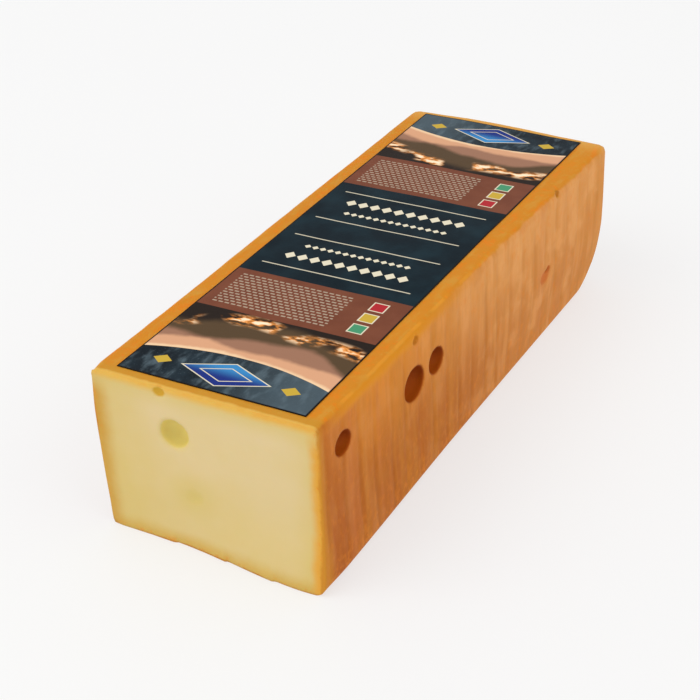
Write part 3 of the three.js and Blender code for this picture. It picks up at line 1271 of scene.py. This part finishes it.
@dataclass
class Label:
    """The printed label: one thin sheet that follows the top of the bar."""

    bar: BarForm
    form: LabelForm = LabelForm()
    across: int = 24
    along: int = 76
    drop: float = 8.0
    smoothing: int = 3
    crease: float = 40.0
    piece: Workpiece = field(init=False)

    def build(self, bar: Workpiece) -> Workpiece:
        """Makes the label's mesh.

        Args:
            bar: The block that it lies on.

        Returns:
            The label, with its own UV map over the whole print.
        """
        form = self.form
        middle = self.bar.cut_y + form.from_cut + form.length / 2
        centre = Vector((form.offset, middle, self.bar.height + self.drop))
        deselect_all()
        bpy.ops.mesh.primitive_grid_add(
            x_subdivisions=self.across,
            y_subdivisions=self.along,
            size=MM,
            location=centre * MM,
            rotation=(0, 0, math.radians(form.turn)),
        )
        self.piece = Workpiece("label_dressed", Vector((form.width, form.length, 1)))
        self.piece.modify(
            "SHRINKWRAP",
            wrap_method="PROJECT",
            wrap_mode="ABOVE_SURFACE",
            use_project_z=True,
            use_negative_direction=True,
            use_positive_direction=False,
            target=bar.object,
            offset=form.glue * MM,
        )
        self.piece.modify("SMOOTH", factor=0.5, iterations=self.smoothing, use_x=False, use_y=False)
        self.piece.modify("SOLIDIFY", thickness=form.thickness * MM, offset=1.0)
        bpy.ops.object.shade_smooth_by_angle(angle=math.radians(self.crease))
        return self.piece


@dataclass(frozen=True)
class LabelPrint:
    """A plain decorative print: fields of slate, dusk, brown and teal, with simple shapes on them.

    Both halves of the print mirror each other about the middle of the label. Reaches are
    counted in millimetres from the nearer end.
    """

    form: LabelForm = LabelForm()
    border: float = 0.9
    blur: float = 0.1
    slate_reach: float = 19.0
    slate_arc: float = 8.0
    dusk_reach: float = 60.0
    brown_reach: float = 96.0
    ember_reach: float = 27.0
    row_pitch: float = 2.2
    dash_pitch: float = 3.2
    dash_field: tuple[float, ...] = (-11.0, 78.1, 28.8, 14.3)
    square_place: Span = (31.5, 68.5)
    square_pitch: float = 10.0
    square_halves: Span = (3.8, 3.2)
    lozenge_rows: tuple[tuple[float, ...], ...] = ((116.0, 32.5, 3.2, 6.5), (127.0, 28.0, 1.7, 4.0))
    rules: Span = (105.5, 136.0)
    rule_half: float = 38.0
    wide_lozenges: tuple[float, ...] = (22.0, 20.6, 13.0, 11.8)
    wide_shape: float = 0.43
    small_lozenge: tuple[float, ...] = (31.0, 4.6, 3.4)
    slate: tuple = srgb(34, 50, 60)
    slate_light: tuple = srgb(98, 116, 126)
    slate_dark: tuple = srgb(14, 24, 32)
    teal: tuple = srgb(2, 22, 32)
    teal_light: tuple = srgb(24, 50, 60)
    dusk_pale: tuple = srgb(246, 208, 166)
    dusk: tuple = srgb(222, 166, 128)
    dusk_tan: tuple = srgb(160, 116, 92)
    umber: tuple = srgb(88, 68, 46)
    umber_dark: tuple = srgb(36, 26, 20)
    ember: tuple = srgb(255, 160, 70)
    ember_pale: tuple = srgb(255, 240, 206)
    brown: tuple = srgb(116, 64, 44)
    brown_light: tuple = srgb(138, 82, 58)
    cream: tuple = srgb(232, 222, 196)
    blue: tuple = srgb(26, 48, 128)
    sky: tuple = srgb(60, 140, 200)
    ochre: tuple = srgb(204, 170, 60)
    red: tuple = srgb(180, 40, 48)
    green: tuple = srgb(74, 150, 110)
    edge: tuple = srgb(20, 16, 12)

    def make(self) -> bpy.types.Material:
        """Builds the material."""
        shader = Shader("label_print")
        uv = shader.node("ShaderNodeTexCoord", {}, {}, "UV")
        parts = shader.node("ShaderNodeSeparateXYZ", {}, {0: uv}).socket.node.outputs
        x = (Sock(shader, parts[0]) - 0.5) * self.form.width
        y = (Sock(shader, parts[1]) - 0.5) * self.form.length
        point = shader.vector(x, y)
        reach = self.form.length / 2 - abs(y)
        arc = self.slate_reach + self.slate_arc * (1 - (x / (self.form.width / 2)) ** 2.0)
        past_slate = reach - arc
        colour = shader.layered(
            self.stone(shader, point, x * y),
            (self.past(past_slate, 0.0), self.dusk_waves(shader, point, x, past_slate)),
            (self.past(reach, self.dusk_reach), self.brown_panel(shader, point, x, reach)),
            (self.past(reach, self.brown_reach), self.teal_panel(shader, point, x, reach)),
        )
        colour = self.end_lozenges(shader, colour, x, reach)
        margin = reach.least(self.form.width / 2 - abs(x))
        colour = shader.mix(margin.ramp(self.border, self.border * 0.5), colour, self.edge)
        fibre = shader.noise(point, 1.4, 3.0)
        roughness = 0.36 + 0.12 * shader.noise(point, 20.0)
        return shader.finish(colour, roughness, shader.bump(fibre, 0.03), Specular_IOR_Level=0.05)

    def past(self, reach: Sock, place: float) -> Sock:
        """A mask of what lies further in than a place."""
        return reach.ramp(place - self.blur, place + self.blur)

    def stone(self, shader: Shader, point: Sock, corner: Sock) -> Colour:
        """Split slate: dark, with paler scuffs and flecks, and paler towards two opposite corners.

        Args:
            shader: The shader.
            point: The point on the piece, in metres.
            corner: The product of the places across and along, from the middle.

        Returns:
            The colour.
        """
        scuffs = shader.noise(point, 5.0, 6.0, (1.0, 2.4, 1)).ramp(0.46, 0.74)
        flecks = shader.noise(point, 0.9, 3.0).ramp(0.58, 0.75)
        return shader.layered(
            self.slate_dark,
            (shader.noise(point, 15.0, 5.0).ramp(0.35, 0.65), self.slate),
            (corner.ramp(1500.0, -5500.0) * 0.5, self.slate_light),
            (corner.ramp(500.0, 5000.0) * 0.6, self.slate_dark),
            (scuffs * 0.65, self.slate_light),
            (flecks * 0.3, self.slate_light),
        )

    def dusk_waves(self, shader: Shader, point: Sock, x: Sock, past: Sock) -> Colour:
        """Ribbons of dusk that darken inwards in waves, with a band of embers in the last.

        Args:
            shader: The shader.
            point: The point on the piece, in metres.
            x: Its place across, in millimetres.
            past: How far in from the slate it lies, in millimetres.

        Returns:
            The colour.
        """
        ribbons = (
            (self.dusk, 1.6, 0.5, 0.3),
            (self.dusk_tan, 8.0, 2.6, 1.4),
            (self.umber, 15.0, 3.4, 3.1),
            (self.umber_dark, self.ember_reach, 2.2, 4.4),
        )
        ripple = (shader.noise(point, 6.0, 3.0) - 0.5) * 2.4
        colour = self.dusk_pale
        for tone, start, height, phase in ribbons:
            wave = (x / 13.0 + phase).sine() * height + (x / 5.3 + phase * 2).sine() * height * 0.3
            blur = 1.0 + start * 0.09
            colour = shader.mix((past - start + wave + ripple).ramp(-blur, blur), colour, tone)
        glow = (past - self.ember_reach + (x / 9.0).sine() * 2.0) / 6.0
        flecks = shader.noise(point, 3.4, 5.0, (2.2, 1, 1))
        patches = shader.noise(point, 17.0, 1.0).ramp(0.4, 0.56)
        spread = 1 - abs(glow).ramp(0.15, 1.0)
        return shader.layered(
            colour,
            (spread * flecks.ramp(0.4, 0.54) * patches, self.ember),
            (spread * flecks.ramp(0.5, 0.6) * patches, self.ember_pale),
        )

    def brown_panel(self, shader: Shader, point: Sock, x: Sock, reach: Sock) -> Colour:
        """A brown field with a close brickwork of short dashes, and three small squares.

        Args:
            shader: The shader.
            point: The point on the piece, in metres.
            x: Its place across, in millimetres.
            reach: How far in from the nearer end it lies, in millimetres.

        Returns:
            The colour.
        """
        clouds = shader.noise(point, 12.0, 3.0).ramp(0.3, 0.75) * 0.4
        colour = shader.mix(clouds, self.brown, self.brown_light)
        row = reach.wrapped(self.row_pitch)
        on_row = abs(row - self.row_pitch / 2).ramp(0.55, 0.35)
        shift = ((reach - row) / self.row_pitch).wrapped(2.0) / 2
        dashes = abs((x / self.dash_pitch + shift).wrapped(1.0) - 0.5).ramp(0.4, 0.3)
        across, along, half_width, half_height = self.dash_field
        within = self.rectangle(x - across, reach - along, half_width, half_height)
        colour = shader.mix(on_row * dashes * within * 0.42, colour, self.cream)
        for number, accent in enumerate((self.green, self.ochre, self.red)):
            place = reach - self.square_place[1] - self.square_pitch * number
            for half, tone in zip(self.square_halves, (self.cream, accent)):
                colour = shader.mix(self.rectangle(x - self.square_place[0], place, half, half), colour, tone)
        return colour

    def teal_panel(self, shader: Shader, point: Sock, x: Sock, reach: Sock) -> Colour:
        """The middle field: dark teal with rules and rows of pale lozenges.

        Args:
            shader: The shader.
            point: The point on the piece, in metres.
            x: Its place across, in millimetres.
            reach: How far in from the nearer end it lies, in millimetres.

        Returns:
            The colour.
        """
        clouds = shader.noise(point, 18.0, 4.0).ramp(0.35, 0.75) * 0.6
        colour = shader.mix(clouds, self.teal, self.teal_light)
        for place, half_width, half_height, pitch in self.lozenge_rows:
            offset = x.wrapped(pitch) - pitch / 2
            lozenge = self.lozenge(offset, reach - place, pitch * 0.44, half_height)
            within = abs(x).ramp(half_width + self.blur, half_width - self.blur)
            colour = shader.mix(lozenge * within, colour, self.cream)
        for place in self.rules:
            rule = abs(reach - place).ramp(0.45, 0.3) * abs(x).ramp(self.rule_half + 0.5, self.rule_half)
            colour = shader.mix(rule * 0.8, colour, self.cream)
        return colour

    def end_lozenges(self, shader: Shader, colour: Colour, x: Sock, reach: Sock) -> Colour:
        """A wide blue lozenge at each end, between two small ones.

        Args:
            shader: The shader.
            colour: The colour below.
            x: Its place across, in millimetres.
            reach: How far in from the nearer end it lies, in millimetres.

        Returns:
            The colour with the lozenges over it.
        """
        middle = reach - self.slate_reach * 0.68
        fill = shader.mix(middle.ramp(-3.0, 6.0), self.blue, self.sky)
        for half_width, tone in zip(self.wide_lozenges, (self.cream, fill) * 2):
            wide = self.lozenge(x, middle, half_width, half_width * self.wide_shape)
            colour = shader.mix(wide, colour, tone)
        across, half_width, half_height = self.small_lozenge
        return shader.mix(self.lozenge(abs(x) - across, middle, half_width, half_height), colour, self.ochre)

    def rectangle(self, x: Sock, y: Sock, half_width: float, half_height: float) -> Sock:
        """A mask of a rectangle about the origin of two offsets."""
        outside = (abs(x) - half_width).most(abs(y) - half_height)
        return outside.ramp(self.blur, -self.blur)

    def lozenge(self, x: Sock, y: Sock, half_width: float, half_height: float) -> Sock:
        """A mask of a diamond about the origin of two offsets."""
        blur = self.blur / half_height
        return (abs(x) / half_width + abs(y) / half_height).ramp(1 + blur, 1 - blur)


# ---- floor, light and camera


@dataclass(frozen=True)
class Studio:
    """A pale floor, soft light and the camera."""

    focal_px: float = 1626.0
    image_px: float = 700.0
    sensor_mm: float = 36.0
    azimuth: float = 29.905
    elevation: float = 30.894
    roll: float = -2.558
    target: tuple[float, float, float] = (-31.134, 23.104, 0.0)
    distance: float = 836.0
    floor_size: float = 12.0
    floor_gap: float = 0.0002
    floor_glow: float = 0.62
    sky_glow: float = 0.74

    def build(self) -> None:
        """Makes everything that isn't the object."""
        self.make_floor()
        self.make_lights()
        self.make_camera()

    def make_floor(self) -> None:
        """A wide pale floor under the bar's base."""
        deselect_all()
        bpy.ops.mesh.primitive_plane_add(size=self.floor_size, location=(0, 0, -self.floor_gap))
        floor = Workpiece("floor")
        shader = Shader("pale_floor")
        point = shader.place()[0]
        colour = shader.mix(shader.noise(point, 400.0), srgb(150, 150, 150), srgb(146, 146, 146))
        normal = shader.bump(shader.noise(point, 3.0), 0.02)
        glow = {"Emission_Color": (1.0, 1.0, 1.0, 1.0), "Emission_Strength": self.floor_glow}
        floor.mesh.materials.append(shader.finish(colour, 0.7, normal, **glow))

    def add_area(self, name: str, place: tuple, aim: tuple, size: float, power: float, colour: tuple) -> None:
        """Adds one soft light.

        Args:
            name: Its name.
            place: Where it hangs, in metres.
            aim: The point it faces, in metres.
            size: The side of its square, in metres.
            power: In watts.
            colour: Linear red, green and blue.
        """
        data = bpy.data.lights.new(name, "AREA")
        data.size = size
        data.energy = power
        data.color = colour
        light = bpy.data.objects.new(name, data)
        light.location = place
        light.rotation_euler = (Vector(aim) - Vector(place)).to_track_quat("-Z", "Y").to_euler()
        bpy.context.scene.collection.objects.link(light)

    def make_lights(self) -> None:
        """One large soft key from the front left, a weak fill from the right, and a pale sky."""
        self.add_area("key", (-1.1, -1.5, 1.9), (0, 0, 0.03), 2.2, 26.0, (1.0, 0.99, 0.97))
        self.add_area("fill", (1.9, -0.4, 1.2), (0, 0, 0.03), 1.8, 9.0, (1.0, 0.99, 0.98))
        world = bpy.data.worlds.new("studio")
        world.use_nodes = True
        background = world.node_tree.nodes["Background"]
        background.inputs["Color"].default_value = (1.0, 1.0, 1.0, 1.0)
        background.inputs["Strength"].default_value = self.sky_glow
        bpy.context.scene.world = world
        bpy.context.scene.view_settings.view_transform = "Standard"

    def make_camera(self) -> None:
        """A camera turned about the target, and tilted about its own line of sight."""
        azimuth, elevation, roll = (math.radians(a) for a in (self.azimuth, self.elevation, self.roll))
        level = math.cos(elevation)
        back = Vector((math.sin(azimuth) * level, -math.cos(azimuth) * level, math.sin(elevation)))
        right = (-back).cross(Vector((0, 0, 1))).normalized()
        upward = right.cross(-back)
        rolled_right = right * math.cos(roll) + upward * math.sin(roll)
        rolled_up = upward * math.cos(roll) - right * math.sin(roll)
        data = bpy.data.cameras.new("camera")
        data.sensor_width = self.sensor_mm
        data.lens = self.focal_px / self.image_px * self.sensor_mm
        data.clip_start = 0.05
        data.clip_end = 50.0
        camera = bpy.data.objects.new("camera", data)
        turn = Matrix((rolled_right, rolled_up, back)).transposed().to_4x4()
        camera.matrix_world = Matrix.Translation((Vector(self.target) + back * self.distance) * MM) @ turn
        bpy.context.scene.collection.objects.link(camera)
        bpy.context.scene.camera = camera


# ---- the whole


def main() -> None:
    """Loads the frame and builds the studio, the bar and its label."""
    logging.basicConfig(level=logging.INFO, format="%(name)s: %(message)s")
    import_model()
    low, high = (Vector(corner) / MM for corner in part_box("cheese_bar"))
    form = BarForm(width=high.x - low.x, height=high.z)
    Studio().build()
    bar = CheeseBar(form).build()
    label = Label(form).build(bar)
    bar.finish(CheeseFinish(form).make(), "cheese_bar", "rind")
    label.finish(LabelPrint().make(), "label", "label_film")


if __name__ == "__main__":
    main()
